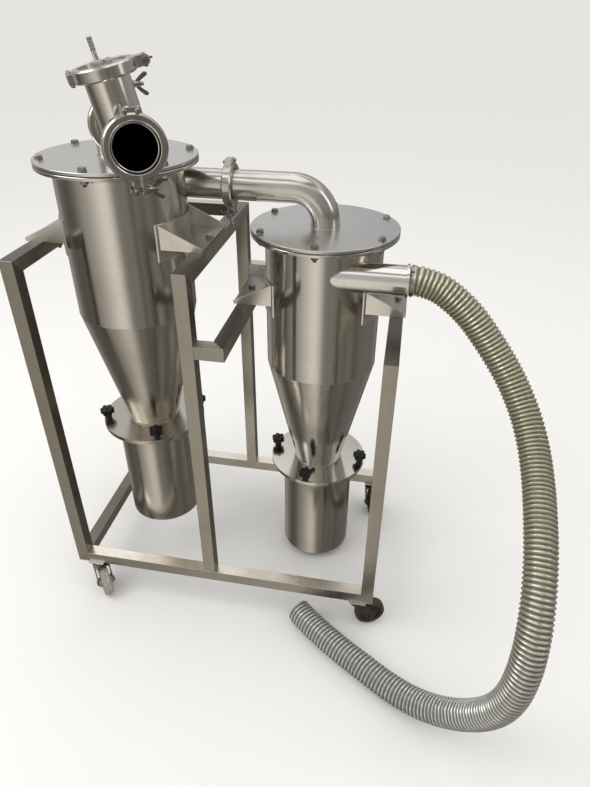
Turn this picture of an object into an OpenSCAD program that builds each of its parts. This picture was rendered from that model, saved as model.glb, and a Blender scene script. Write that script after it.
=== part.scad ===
// Two-stage stainless-steel cyclone separator on a wheeled square-tube frame.
// Built from the frame's front left corner on the floor: X to the right, Y to the back, Z up.
// The finished part is then shifted so that its origin is the middle of its footprint.

/* [Square-tube frame] */
// outside width of the square tube
tube = 35; // [25:1:50]
// wall of the square tube
tube_wall = 2; // [1.5:0.5:4]
// overall width of the base
frame_w = 940; // [800:5:1200]
// overall depth of the base
frame_d = 575; // [500:5:800]
// height of the left and middle side frames over the underside of the base
high_rise = 1007; // [850:1:1300]
// height of the right side frame over the underside of the base
low_rise = 827; // [650:1:1000]
// left face of the middle side frame
middle_x = 420; // [400:1:480]
// left face of the inner rail that carries the second cyclone
inner_x = 496; // [480:1:560]

/* [Cyclones] */
// place of the first cyclone's axis from the left face of the frame
first_x = 220; // [200:1:260]
// place of the first cyclone's axis from the front face of the frame
first_y = 237; // [200:1:300]
// place of the second cyclone's axis from the left face of the frame
second_x = 716; // [690:1:760]
// outside diameter of the barrel
barrel_d = 315; // [250:1:340]
// wall of the barrel, cone and pot
shell_wall = 2; // [1.5:0.5:4]
// top of the lid over the rails that carry the cyclone
lid_over_rail = 197; // [150:1:260]
// seam between barrel and cone, below the top of the lid
seam_drop = 393; // [330:1:500]
// foot of the cone, below the top of the lid
foot_drop = 757; // [650:1:900]
// outside diameter of the foot of the cone
foot_d = 145; // [100:1:180]
// diameter of the lid and of the flange under it
lid_d = 390; // [360:1:420]
// thickness of the lid
lid_t = 8; // [5:0.5:12]
// thickness of the gasket under the lid
gasket_t = 2; // [1:0.5:4]
// thickness of the flange on the barrel
flange_t = 8; // [5:0.5:12]
// chamfer round the rims of the lid and flanges
rim_chamfer = 1; // [0.5:0.5:2]
// length of the tube that hangs inside the barrel from the lid
finder_length = 190; // [120:1:260]

/* [Mounting brackets] */
// reach of a bracket's tip from the cyclone's axis
bracket_reach = 230; // [210:1:260]
// width of a bracket's plate
bracket_w = 200; // [140:1:240]
// thickness of a bracket's plate
bracket_t = 5; // [3:0.5:8]
// thickness of the two gussets on a bracket
gusset_t = 4; // [3:0.5:6]
// height of the gussets beside the barrel
gusset_h = 55; // [35:1:90]
// height of the gussets at the bracket's tip
gusset_tip = 4; // [3:0.5:15]
// thickness of the curved pad between bracket and barrel
pad_t = 3; // [2:0.5:5]
// height of the curved pad over the rail
pad_over = 62; // [57:1:100]
// reach of the curved pad below the top of the rail
pad_under = 30; // [15:1:60]

/* [Collecting pots] */
// diameter of the plate on the foot of the cone and of the pot's flange
pot_flange_d = 300; // [290:1:340]
// thickness of the plate and of the pot's flange
pot_flange_t = 6; // [4:0.5:10]
// outside diameter of the pot
pot_d = 220; // [180:1:240]
// bottom of the pot, below the top of the lid
pot_drop = 1115; // [1000:1:1140]
// chamfer round the bottom of the pot
pot_chamfer = 4; // [3:1:12]
// distance of the star knobs from the cyclone's axis
knob_circle = 138; // [130:1:140]
// diameter across the lobes of a star knob
knob_d = 40; // [28:1:46]
// height of a star knob's head
knob_h = 16; // [10:1:24]
// top of a star knob over the plate
knob_over = 34; // [30:1:60]
// diameter of a star knob's hub
hub_d = 20; // [12:1:24]
// diameter of the stud through plate and flange
stud_d = 8; // [6:1:10]
// number of lobes on a star knob
knob_lobes = 6; // [5:1:8]

/* [Inlet and crossover pipes] */
// outside diameter of the inlet and crossover pipes
pipe_d = 76; // [60:1:80]
// wall of the pipes
pipe_wall = 1.6; // [1.2:0.1:3]
// axis of the tangential pipes, below the top of the lid
pipe_drop = 89; // [75:1:120]
// how far the side of a tangential pipe lies inside the side of the barrel
pipe_inset = 4; // [3:0.5:8]
// joint in the crossover pipe, from the left face of the frame
joint_x = 467; // [440:1:500]
// bend radius of the crossover pipe's elbow
crossover_bend = 85; // [76:1:100]
// right end of the inlet pipe, from the left face of the frame
inlet_end = 944; // [920:1:1000]
// diameter of the collar at the end of the inlet pipe
collar_d = 84; // [82:1:90]
// width of the collar at the end of the inlet pipe
collar_w = 7; // [5:1:15]

/* [Outlet] */
// outside diameter of the outlet tube
outlet_d = 89; // [76:1:95]
// bend radius of the outlet elbow
outlet_bend = 76; // [76:1:100]
// straight length between the lid and the outlet elbow
outlet_rise = 5; // [3:1:40]
// turn of the outlet from straight ahead toward the right
outlet_turn = 31.6; // [0:0.1:60]
// first joint of the outlet from the cyclone's axis
elbow_joint = 100; // [96:1:140]
// front port of the outlet from the cyclone's axis
port_reach = 355; // [300:1:400]
// branch of the tee behind the front port
branch_back = 100; // [90:1:140]
// length of the branch from the axis of the tee
branch_length = 124; // [100:1:160]
// lean of the branch toward the left
branch_lean = 12; // [0:1:30]
// thickness of the blind cap
cap_t = 6; // [4:0.5:10]
// diameter of the nozzle on the cap
nozzle_d = 9; // [7:1:14]
// height of the nozzle over the cap
nozzle_h = 52; // [40:1:70]
// width over the corners of the nozzle's nut
nozzle_nut = 22; // [18:1:30]
// distance of the nozzle from the middle of the cap
nozzle_off = 7; // [5:1:20]

/* [Pipe clamps] */
// how far a ferrule's rim stands out from its pipe
ferrule_lip = 8; // [6:0.5:10]
// half thickness of the two ferrule rims together
ferrule_rim = 3; // [2:0.5:5]
// slope of a ferrule's back
ferrule_slope = 20; // [10:1:30]
// thickness of the clamp ring over the ferrule's rim
clamp_over = 9; // [5:0.5:14]
// width of the clamp ring along the pipe
clamp_w = 24; // [18:1:32]
// bolt of the clamp beyond the outside of the ring
clamp_bolt_out = 17; // [14:1:26]
// slit between the two halves of a clamp
clamp_slit = 8; // [4:1:12]
// thickness of a clamp lug
lug_t = 9; // [6:1:14]
// diameter of the clamp's bolt hole
clamp_hole_d = 9; // [7:0.5:12]
// diameter of a clamp's hinge pin
hinge_pin_d = 8; // [5:0.5:10]

/* [Casters] */
// height of a caster from the floor to the underside of the frame
caster_h = 114; // [112:1:150]
// diameter of a wheel
wheel_d = 92; // [80:1:94]
// width of a wheel's tread
wheel_w = 27; // [24:1:36]
// distance of the wheel's axle from the swivel axis
trail = 40; // [36:1:50]
// swivel axes of the left casters from the left end of the base rail
inset_left = 58; // [40:1:80]
// swivel axes of the right casters from the right end of the base rail
inset_right = 44; // [40:1:80]
// side of the square mounting plate
caster_plate = 50; // [44:1:60]
// thickness of the mounting plate
caster_plate_t = 3; // [2:0.5:5]
// diameter of the swivel bearing under the plate
race_d = 42; // [36:1:48]
// thickness of the fork's crown
crown_t = 7; // [6:0.5:9]
// free height between the wheel and the crown
crown_gap = 6; // [5.5:0.5:8]
// diameter of the kingpin
kingpin_d = 10; // [8:1:14]
// diameter of the wheel's axle
axle_d = 10; // [8:1:12]
// thickness of a fork leg
leg_t = 2.5; // [2:0.5:4]
// free space between the tread and a fork leg
leg_gap = 8; // [5.2:0.1:10]
// diameter of the wheel's hub
wheel_hub_d = 30; // [24:1:40]
// thickness of the rubber tread
tread_t = 13; // [8:1:18]
// trail direction of the front left caster
front_left_turn = -50; // [-180:1:180]
// trail direction of the front right caster
front_right_turn = 21; // [-180:1:180]
// trail direction of the rear left caster
rear_left_turn = 25; // [-180:1:180]
// trail direction of the rear right caster
rear_right_turn = -78; // [-180:1:180]

/* [Hose] */
// outside diameter of the hose
hose_d = 76; // [60:1:90]
// number of sides of the hose
hose_sides = 12; // [8:1:12]

/* [Clearances] */
// radial clearance of a pin in its bore
pin_clearance = 0.05; // [0.02:0.01:0.1]
// gap between faces that turn on each other
running_gap = 0.3; // [0.2:0.1:0.5]
// clearance round a clamp's ferrules
seat_clearance = 0.5; // [0.3:0.1:1]

/* [Hidden] */
$fn = 96;
small = 32;
over = 1;

base_z = caster_h;
rail_top = base_z + tube;
high_top = base_z + high_rise;
low_top = base_z + low_rise;
right_x = frame_w - tube;
rear_y = frame_d - tube;

barrel_r = barrel_d / 2;
pipe_r = pipe_d / 2;
pipe_bore = pipe_r - pipe_wall;
outlet_r = outlet_d / 2;
outlet_bore = outlet_r - pipe_wall;
tangent_y = barrel_r - pipe_r - pipe_inset;
first_lid = high_top + lid_over_rail;
second_lid = low_top + lid_over_rail;
second_y = first_y + tangent_y;
first_axis = [first_x, first_y, first_lid];
second_axis = [second_x, second_y, second_lid];
flange_drop = lid_t + gasket_t;
crossover_z = first_lid - pipe_drop;
crossover_y = first_y + tangent_y;
inlet_z = second_lid - pipe_drop;
inlet_y = second_y - tangent_y;

knob_turn_1 = [-156, -66, 24, 114];
knob_turn_2 = [-98, -8, 82, 172];

wheel_r = wheel_d / 2;
hub_half = wheel_w / 2 + leg_gap - running_gap;
leg_in = wheel_w / 2 + leg_gap;
leg_out = leg_in + leg_t;
axle_half = leg_out + 4;
crown_z = wheel_d + crown_gap;
race_z = crown_z + crown_t + running_gap;
swivel_y = tube / 2;
casters = [
    [inset_left, swivel_y, front_left_turn],
    [frame_w - inset_right, swivel_y, front_right_turn],
    [inset_left, frame_d - swivel_y, rear_left_turn],
    [frame_w - inset_right, frame_d - swivel_y, rear_right_turn]
];

// the middle of the footprint, between the outermost pieces other than the hose
left_end = first_x - bracket_reach;
right_end = frame_w - inset_right + (trail + wheel_r - 1) * cos(front_right_turn)
    + (wheel_w / 2 - 3) * sin(front_right_turn);
rear_end = frame_d - swivel_y + (trail + 8) * sin(rear_left_turn) + axle_half * cos(rear_left_turn);
clamp_reach = outlet_r + ferrule_lip + clamp_over;
front_end = first_y - port_reach * cos(outlet_turn) - clamp_w / 2 * cos(outlet_turn)
    - clamp_reach * sin(outlet_turn);
origin_x = (left_end + right_end) / 2;
origin_y = (front_end + rear_end) / 2;

// the hose's route, from the inlet down to the floor and back under the frame
hose_floor = hose_d / 2;
hose_route = [
    [inlet_end, inlet_y, inlet_z],
    [inlet_end + 30, inlet_y, inlet_z],
    [1030, 234, 1031],
    [1098, 222, 981],
    [1160, 200, 914],
    [1215, 165, 846],
    [1256, 115, 782],
    [1281, 52, 727],
    [1292, -25, 680],
    [1294, -106, 641],
    [1293, -187, 597],
    [1290, -259, 540],
    [1286, -310, 469],
    [1279, -340, 389],
    [1267, -348, 306],
    [1245, -337, 227],
    [1206, -314, 155],
    [1150, -284, 96],
    [1083, -248, 57],
    [1009, -206, 40],
    [929, -157, hose_floor],
    [845, -104, hose_floor],
    [773, -52, hose_floor],
    [718, -6, hose_floor]
];

// Frame

// A square tube that stands on Z. Each end is given as the stand-back of its two edges along Y.
module mitred_tube(length, foot = [0, 0], head = [0, 0]) {
    difference() {
        rotate([90, 0, 90]) linear_extrude(tube)
            polygon([[0, foot[0]], [tube, foot[1]], [tube, length - head[1]], [0, length - head[0]]]);
        translate([tube_wall, tube_wall, -over])
            cube([tube - 2 * tube_wall, tube - 2 * tube_wall, length + 2 * over]);
    }
}

// A rail along Y whose top edge is at the origin.
module rail_back(length, foot = [0, 0], head = [0, 0]) {
    rotate([-90, 0, 0]) mitred_tube(length, foot, head);
}

// A rail along X with its lower front edge at the origin.
module rail_right(length, foot = [0, 0], head = [0, 0]) {
    rotate([90, 0, 90]) mitred_tube(length, foot, head);
}

// A corner post: its foot is mitred with the base rail beside it, its head with the top rail behind it.
module corner_post(rise) {
    difference() {
        mitred_tube(rise, [0, 0], [0, tube]);
        rotate([90, 0, 0]) translate([0, 0, -tube - over]) linear_extrude(tube + 2 * over)
            polygon([[0, 0], [tube + over, tube + over], [tube + over, -over], [-over, -over]]);
    }
}

module right_side() {
    translate([frame_w, 0, 0]) mirror([1, 0, 0]) children();
}

module rear_side() {
    translate([0, frame_d, 0]) mirror([0, 1, 0]) children();
}

// A base rail along X, mitred with the corner posts at both ends.
module long_base_rail() {
    translate([0, 0, base_z]) rail_right(frame_w, [0, tube], [0, tube]);
}

module steel() {
    color([0.72, 0.70, 0.67]) children();
}

module base_front_rail() steel() long_base_rail();
module base_rear_rail() steel() rear_side() long_base_rail();
module base_left_rail() steel() translate([0, tube, rail_top]) rail_back(frame_d - 2 * tube);
module base_right_rail() steel() translate([right_x, tube, rail_top]) rail_back(frame_d - 2 * tube);

module left_front_post() steel() translate([0, 0, base_z]) corner_post(high_rise);
module left_rear_post() steel() rear_side() translate([0, 0, base_z]) corner_post(high_rise);
module right_front_post() steel() right_side() translate([0, 0, base_z]) corner_post(low_rise);
module right_rear_post() steel() right_side() rear_side() translate([0, 0, base_z]) corner_post(low_rise);

module side_top_rail(x, top) {
    steel() translate([x, 0, top]) rail_back(frame_d, [0, tube], [0, tube]);
}

module left_top_rail() side_top_rail(0, high_top);
module middle_top_rail() side_top_rail(middle_x, high_top);
module right_top_rail() side_top_rail(right_x, low_top);

module middle_front_post() {
    steel() translate([middle_x, 0, rail_top]) mitred_tube(high_rise - tube, [0, 0], [0, tube]);
}

module middle_rear_post() steel() rear_side()
    translate([middle_x, 0, rail_top]) mitred_tube(high_rise - tube, [0, 0], [0, tube]);

module rear_cross_rail() {
    steel() translate([tube, rear_y, high_top - tube]) rail_right(middle_x - tube);
}

module inner_front_stub() {
    steel() translate([middle_x + tube, 0, low_top - tube])
        rail_right_plan(inner_x - middle_x, [0, 0], [0, tube]);
}

// A rail along X whose ends are mitred in plan.
module rail_right_plan(length, foot, head) {
    translate([0, 0, tube]) rotate([0, 90, 0]) mitred_tube(length, foot, head);
}

module inner_top_rail() {
    steel() translate([inner_x, 0, low_top - tube])
        rotate([-90, -90, 0]) mitred_tube(rear_y, [tube, 0], [0, 0]);
}

module inner_rear_rail() {
    steel() translate([middle_x + tube, rear_y, low_top - tube]) rail_right(right_x - middle_x - tube);
}

// Cyclones

// A round plate with chamfered rims, its top at the origin.
module round_plate(d, t, bore) {
    rotate_extrude() polygon([
        [bore / 2, -t], [d / 2 - rim_chamfer, -t], [d / 2, -t + rim_chamfer],
        [d / 2, -rim_chamfer], [d / 2 - rim_chamfer, 0], [bore / 2, 0]
    ]);
}

// The lid and the tube that hangs from it into the barrel.
module lid(bore_r) {
    steel() union() {
        round_plate(lid_d, lid_t, 2 * bore_r);
        translate([0, 0, -finder_length]) difference() {
            cylinder(h = finder_length - lid_t / 2, r = bore_r + pipe_wall);
            translate([0, 0, -over]) cylinder(h = finder_length, r = bore_r);
        }
    }
}

module lid_gasket() {
    color([0.16, 0.16, 0.16]) translate([0, 0, -flange_drop]) difference() {
        cylinder(h = gasket_t, d = lid_d - 2 * rim_chamfer);
        translate([0, 0, -over]) cylinder(h = gasket_t + 2 * over, d = barrel_d - 2 * shell_wall);
    }
}

// The pipe's way through the barrel; side is 1 on the rear side and -1 on the front side.
module tangent_bore(side) {
    translate([0, side * tangent_y, -pipe_drop]) rotate([0, 90, 0]) cylinder(h = barrel_d, r = pipe_bore);
}

module barrel(side) {
    steel() difference() {
        rotate_extrude() polygon([
            [barrel_r - shell_wall, -seam_drop], [barrel_r, -seam_drop],
            [barrel_r, -flange_drop - flange_t], [lid_d / 2 - rim_chamfer, -flange_drop - flange_t],
            [lid_d / 2, -flange_drop - flange_t + rim_chamfer], [lid_d / 2, -flange_drop - rim_chamfer],
            [lid_d / 2 - rim_chamfer, -flange_drop], [barrel_r - shell_wall, -flange_drop]
        ]);
        tangent_bore(side);
    }
}

// The cone with the plate on its foot, open at the bottom into the pot.
module cone(turns) {
    steel() difference() {
        rotate_extrude() polygon([
            [barrel_r - shell_wall, -seam_drop], [barrel_r, -seam_drop],
            [foot_d / 2, -foot_drop], [pot_flange_d / 2, -foot_drop],
            [pot_flange_d / 2, -foot_drop - pot_flange_t],
            [foot_d / 2 - shell_wall, -foot_drop - pot_flange_t], [foot_d / 2 - shell_wall, -foot_drop]
        ]);
        stud_holes(turns);
    }
}

module stud_holes(turns) {
    for (a = turns) rotate([0, 0, a])
        translate([knob_circle, 0, -foot_drop - 2 * pot_flange_t - over])
            cylinder(h = 2 * pot_flange_t + 2 * over, r = stud_d / 2 + pin_clearance, $fn = small);
}

// The collecting pot that hangs from the plate by its flange.
module pot(turns) {
    pot_r = pot_d / 2;
    top = -foot_drop - pot_flange_t;
    steel() difference() {
        rotate_extrude() polygon([
            [0, -pot_drop], [pot_r - pot_chamfer, -pot_drop], [pot_r, -pot_drop + pot_chamfer],
            [pot_r, top - pot_flange_t], [pot_flange_d / 2, top - pot_flange_t], [pot_flange_d / 2, top],
            [pot_r - shell_wall, top], [pot_r - shell_wall, -pot_drop + pot_chamfer + shell_wall / 2],
            [pot_r - pot_chamfer - shell_wall / 2, -pot_drop + shell_wall], [0, -pot_drop + shell_wall]
        ]);
        stud_holes(turns);
    }
}

// Star knobs on studs that clamp the pot's flange to the plate.
module knobs(turns) {
    color([0.06, 0.06, 0.06]) for (a = turns) rotate([0, 0, a]) translate([knob_circle, 0, -foot_drop]) star_knob(a);
}

module star_knob(a) {
    under = 2 * pot_flange_t;
    union() {
        translate([0, 0, -under - 8]) cylinder(h = under + 8 + knob_over - knob_h, d = stud_d, $fn = small);
        cylinder(h = knob_over - knob_h, d = hub_d, $fn = small);
        translate([0, 0, knob_over - knob_h]) linear_extrude(knob_h) knob_outline();
        translate([0, 0, -under - 6.5]) cylinder(h = 6.5, d = 15, $fn = 6);
    }
}

module knob_outline() {
    lobe = knob_d * 0.17;
    difference() {
        union() {
            circle(r = knob_d / 2 - lobe / 2, $fn = small);
            for (i = [0 : knob_lobes - 1]) rotate([0, 0, i * 360 / knob_lobes])
                translate([knob_d / 2 - lobe, 0]) circle(r = lobe, $fn = small);
        }
        for (i = [0 : knob_lobes - 1]) rotate([0, 0, (i + 0.5) * 360 / knob_lobes])
            translate([knob_d / 2 + lobe * 0.35, 0]) circle(r = lobe * 1.05, $fn = small);
    }
}

// A bracket that reaches to +X from the barrel: plate, two gussets and a curved pad.
module bracket() {
    half = bracket_w / 2;
    pad_r = barrel_r + pad_t;
    difference() {
        union() {
            translate([0, -half, 0]) cube([bracket_reach, bracket_w, bracket_t]);
            for (y = [-half, half - gusset_t]) translate([0, y + gusset_t, 0]) rotate([90, 0, 0])
                linear_extrude(gusset_t) polygon([
                    [0, bracket_t / 2], [bracket_reach, bracket_t / 2], [bracket_reach, bracket_t + gusset_tip],
                    [barrel_r * 0.8, bracket_t + gusset_h], [0, bracket_t + gusset_h]
                ]);
            intersection() {
                translate([0, 0, -pad_under]) cylinder(h = pad_under + pad_over, r = pad_r);
                translate([0, -half - 5, -pad_under]) cube([bracket_reach, bracket_w + 10, pad_under + pad_over]);
            }
        }
        translate([0, 0, -pad_under - over]) cylinder(h = pad_under + pad_over + 2 * over, r = barrel_r);
    }
}

module brackets() {
    steel() translate([0, 0, -lid_over_rail]) {
        bracket();
        mirror([1, 0, 0]) bracket();
    }
}

module first() translate(first_axis) children();
module second() translate(second_axis) children();

module barrel_1() first() barrel(1);
module cone_1() first() cone(knob_turn_1);
module lid_1() first() lid(outlet_bore);
module lid_gasket_1() first() lid_gasket();
module brackets_1() first() brackets();
module pot_1() first() pot(knob_turn_1);
module knobs_1() first() knobs(knob_turn_1);

module barrel_2() second() barrel(-1);
module cone_2() second() cone(knob_turn_2);
module lid_2() second() lid(pipe_bore);
module lid_gasket_2() second() lid_gasket();
module brackets_2() second() brackets();
module pot_2() second() pot(knob_turn_2);
module knobs_2() second() knobs(knob_turn_2);

// Pipes

// A straight pipe along Z, solid; the bore is cut later.
module rod(length, r) cylinder(h = length, r = r);

// A ferrule with its flat face at the origin and its pipe going down.
module ferrule(r) {
    lip_r = r + ferrule_lip;
    back = ferrule_rim + ferrule_lip * tan(ferrule_slope);
    rotate_extrude() polygon([[0, 0], [lip_r, 0], [lip_r, -ferrule_rim], [r, -back], [0, -back]]);
}

// From the first barrel's rear side to the clamp.
module crossover_pipe() {
    length = joint_x - first_x;
    steel() difference() {
        translate([first_x, crossover_y, crossover_z]) rotate([0, 90, 0]) {
            rod(length, pipe_r);
            translate([0, 0, length]) ferrule(pipe_r);
        }
        translate([first_x, crossover_y, crossover_z]) rotate([0, 90, 0])
            translate([0, 0, -over]) rod(length + 2 * over, pipe_bore);
        first() translate([0, 0, -seam_drop]) cylinder(h = seam_drop, r = barrel_r);
    }
}

// From the clamp to the middle of the second lid.
module crossover_elbow() {
    bend_x = second_x - crossover_bend;
    drop = crossover_z - crossover_bend - second_lid;
    steel() translate([0, crossover_y, crossover_z]) difference() {
        union() {
            translate([joint_x, 0, 0]) rotate([0, 90, 0]) {
                rod(bend_x - joint_x, pipe_r);
                mirror([0, 0, 1]) ferrule(pipe_r);
            }
            translate([bend_x, 0, -crossover_bend]) quarter_bend(crossover_bend, pipe_r, 0);
            translate([second_x, 0, -crossover_bend - drop]) rod(drop, pipe_r);
        }
        translate([joint_x - over, 0, 0]) rotate([0, 90, 0]) rod(bend_x - joint_x + over, pipe_bore);
        translate([bend_x, 0, -crossover_bend]) quarter_bend(crossover_bend, pipe_bore, 0);
        translate([second_x, 0, -crossover_bend - drop - over]) rod(drop + over, pipe_bore);
    }
}

// A quarter of a torus in the XZ plane about the origin, from the given angle on.
module quarter_bend(bend, r, from) {
    rotate([90, 0, 0]) rotate([0, 0, from]) rotate_extrude(angle = 90) translate([bend, 0]) circle(r = r);
}

// From the second barrel's front side to the hose.
module inlet_pipe() {
    length = inlet_end - second_x;
    steel() difference() {
        translate([second_x, inlet_y, inlet_z]) rotate([0, 90, 0]) {
            rod(length, pipe_r);
            translate([0, 0, length - collar_w]) cylinder(h = collar_w, d = collar_d);
        }
        translate([second_x - over, inlet_y, inlet_z]) rotate([0, 90, 0]) rod(length + 2 * over, pipe_bore);
        second() translate([0, 0, -seam_drop]) cylinder(h = seam_drop, r = barrel_r);
    }
}

// Places its children with X along the outlet's run and Z up, at the run's height over the lid.
module outlet_frame() {
    first() rotate([0, 0, outlet_turn - 90]) translate([0, 0, outlet_rise + outlet_bend]) children();
}

module outlet_elbow() {
    steel() outlet_frame() difference() {
        union() {
            translate([0, 0, -outlet_bend - outlet_rise]) rod(outlet_rise, outlet_r);
            translate([outlet_bend, 0, -outlet_bend]) quarter_bend(outlet_bend, outlet_r, 90);
            translate([outlet_bend, 0, 0]) rotate([0, 90, 0]) rod(elbow_joint - outlet_bend, outlet_r);
            translate([elbow_joint, 0, 0]) rotate([0, 90, 0]) ferrule(outlet_r);
        }
        translate([0, 0, -outlet_bend - outlet_rise - over]) rod(outlet_rise + over, outlet_bore);
        translate([outlet_bend, 0, -outlet_bend]) quarter_bend(outlet_bend, outlet_bore, 90);
        translate([outlet_bend, 0, 0]) rotate([0, 90, 0]) rod(elbow_joint - outlet_bend + over, outlet_bore);
    }
}

// Places its children with Z along the branch, from the run's axis.
module branch_frame() {
    translate([port_reach - branch_back, 0, 0]) rotate([branch_lean, 0, 0]) children();
}

// The tee: a run between two clamps with a branch that leans to the left.
module outlet_tee() {
    length = port_reach - elbow_joint;
    face = ferrule_rim;
    steel() outlet_frame() difference() {
        union() {
            translate([elbow_joint, 0, 0]) rotate([0, 90, 0]) {
                rod(length, outlet_r);
                mirror([0, 0, 1]) ferrule(outlet_r);
                translate([0, 0, length]) ferrule(outlet_r);
                translate([0, 0, length]) cylinder(h = face, r = outlet_r + ferrule_lip);
            }
            branch_frame() {
                rod(branch_length, outlet_r);
                translate([0, 0, branch_length]) ferrule(outlet_r);
            }
        }
        translate([elbow_joint - over, 0, 0]) rotate([0, 90, 0]) rod(length + face + 2 * over, outlet_bore);
        branch_frame() rod(branch_length + over, outlet_bore);
    }
}

// The blind cap on the branch, with its nozzle.
module outlet_cap() {
    lip_r = outlet_r + ferrule_lip;
    steel() outlet_frame() branch_frame() translate([0, 0, branch_length]) {
        rotate_extrude() polygon([
            [0, 0], [lip_r, 0], [lip_r, ferrule_rim],
            [lip_r - (cap_t - ferrule_rim) / tan(ferrule_slope), cap_t], [0, cap_t]
        ]);
        translate([0, -nozzle_off, cap_t]) cylinder(h = nozzle_h, d = nozzle_d, $fn = small);
        translate([0, -nozzle_off, cap_t]) cylinder(h = nozzle_h / 4, d = nozzle_nut, $fn = 6);
        translate([0, nozzle_nut * 0.6, cap_t]) cylinder(h = nozzle_h / 5, d = nozzle_nut * 0.7, $fn = 6);
    }
}

// A two-piece clamp about Z on a pair of ferrules, with its bolt on the +X side and its hinge opposite.
module pipe_clamp(r) {
    lip_r = r + ferrule_lip;
    ring_r = lip_r + clamp_over;
    inner_r = r + ferrule_lip / 3;
    groove_r = lip_r + seat_clearance;
    slope = tan(ferrule_slope);
    half = clamp_w / 2;
    bolt_r = ring_r + clamp_bolt_out;
    seat = ferrule_rim + (lip_r - inner_r) * slope;
    floor_half = ferrule_rim - seat_clearance * slope;
    difference() {
        union() {
            rotate_extrude() polygon([
                [ring_r - 3, -half], [ring_r, -half + 3], [ring_r, half - 3], [ring_r - 3, half],
                [inner_r, half], [inner_r, seat], [groove_r, floor_half],
                [groove_r, -floor_half], [inner_r, -seat], [inner_r, -half]
            ]);
            for (s = [-1, 1]) translate([0, s * (clamp_slit + lug_t) / 2, 0])
                clamp_lug(ring_r, bolt_r);
            translate([-ring_r - 1, 0, -half + 3]) cube_mid(16, 36, clamp_w - 6);
            for (s = [-1, 1]) translate([-ring_r - 3, s * 12, -half])
                cylinder(h = clamp_w, d = hinge_pin_d, $fn = small);
        }
        translate([groove_r - 4, -clamp_slit / 2, -half - over])
            cube([bolt_r, clamp_slit, clamp_w + 2 * over]);
        translate([bolt_r, 0, 0]) rotate([90, 0, 0])
            translate([0, 0, -ring_r]) cylinder(h = 2 * ring_r, d = clamp_hole_d, $fn = small);
    }
}

// One lug: a flat ear with a round end about the bolt.
module clamp_lug(ring_r, bolt_r) {
    ear = clamp_w / 2 - 2;
    rotate([90, 0, 0]) translate([0, 0, -lug_t / 2]) linear_extrude(lug_t) union() {
        translate([ring_r - 6, -ear]) square([bolt_r - ring_r + 6, 2 * ear]);
        translate([bolt_r, 0]) circle(r = ear, $fn = small);
    }
}

module cube_mid(x, y, z) translate([-x / 2, -y / 2, 0]) cube([x, y, z]);

module crossover_clamp() {
    color([0.66, 0.64, 0.61]) translate([joint_x, crossover_y, crossover_z])
        rotate([0, 90, 0]) pipe_clamp(pipe_r);
}

module outlet_clamps() {
    color([0.66, 0.64, 0.61]) outlet_frame() {
        translate([elbow_joint, 0, 0]) rotate([0, -90, 0]) pipe_clamp(outlet_r);
        translate([port_reach, 0, 0]) rotate([0, 90, 0]) pipe_clamp(outlet_r);
        branch_frame() translate([0, 0, branch_length]) rotate([0, 0, 90]) pipe_clamp(outlet_r);
    }
}

// Hose

function unit(v) = v / norm(v);
function way(i) = unit(hose_route[min(i + 1, len(hose_route) - 1)] - hose_route[max(i - 1, 0)]);
function across(i) = unit(cross(way(i), [0.5, 0.8, -0.3]));
function ring(i) = [
    for (k = [0 : hose_sides - 1])
        hose_route[i] + hose_d / 2 * (
            cos(k * 360 / hose_sides) * across(i)
            + sin(k * 360 / hose_sides) * cross(way(i), across(i)))
];

module hose() {
    count = len(hose_route);
    sides = hose_sides;
    rings = [for (i = [0 : count - 1]) each ring(i)];
    walls = [
        for (i = [0 : count - 2], k = [0 : sides - 1])
            let (a = i * sides + k, b = i * sides + (k + 1) % sides)
                [a, a + sides, b + sides, b]
    ];
    start = [for (k = [0 : sides - 1]) k];
    end = [for (k = [sides - 1 : -1 : 0]) (count - 1) * sides + k];
    color([0.62, 0.62, 0.52]) polyhedron(points = rings, faces = concat([start], walls, [end]), convexity = 6);
}

// Casters

// Places its children at caster i, with X along its trail and Z up from the floor.
module at_caster(i) {
    translate([casters[i][0], casters[i][1], 0]) rotate([0, 0, casters[i][2]]) children();
}

module caster_plates() {
    color([0.62, 0.62, 0.60]) for (i = [0 : 3]) {
        translate([casters[i][0], casters[i][1], base_z - caster_plate_t])
            cube_mid(caster_plate, caster_plate, caster_plate_t);
        translate([casters[i][0], casters[i][1], 0]) {
            translate([0, 0, race_z]) cylinder(h = base_z - caster_plate_t - race_z, d = race_d);
            translate([0, 0, crown_z - running_gap - 3]) cylinder(h = crown_t + 8, d = kingpin_d);
            translate([0, 0, crown_z - running_gap - 3]) cylinder(h = 3, d = kingpin_d + 8);
        }
    }
}

// A fork: a crown round the kingpin, two legs that trail back to the axle, and the axle.
module fork() {
    color([0.66, 0.66, 0.62]) union() {
        difference() {
            translate([0, 0, crown_z]) {
                cylinder(h = crown_t, r = leg_out + 1);
                translate([0, -leg_out, 0]) cube([trail - 8, 2 * leg_out, crown_t / 2]);
            }
            translate([0, 0, crown_z - over])
                cylinder(h = crown_t + 2 * over, r = kingpin_d / 2 + pin_clearance);
        }
        for (y = [-leg_out, leg_in]) translate([0, y + leg_t, 0]) rotate([90, 0, 0])
            linear_extrude(leg_t) union() {
                polygon([
                    [-12, crown_z + crown_t / 2], [trail - 8, crown_z + crown_t / 2],
                    [trail + 12, wheel_r + 4], [trail + 10, wheel_r - 7], [trail - 11, wheel_r - 5]
                ]);
                translate([trail, wheel_r]) circle(r = 12);
            }
        translate([trail, axle_half, wheel_r]) rotate([90, 0, 0]) cylinder(h = 2 * axle_half, d = axle_d);
        for (y = [-axle_half, leg_out]) translate([trail, y + 4, wheel_r]) rotate([90, 0, 0])
            cylinder(h = 4, d = 17, $fn = 6);
    }
}

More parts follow.
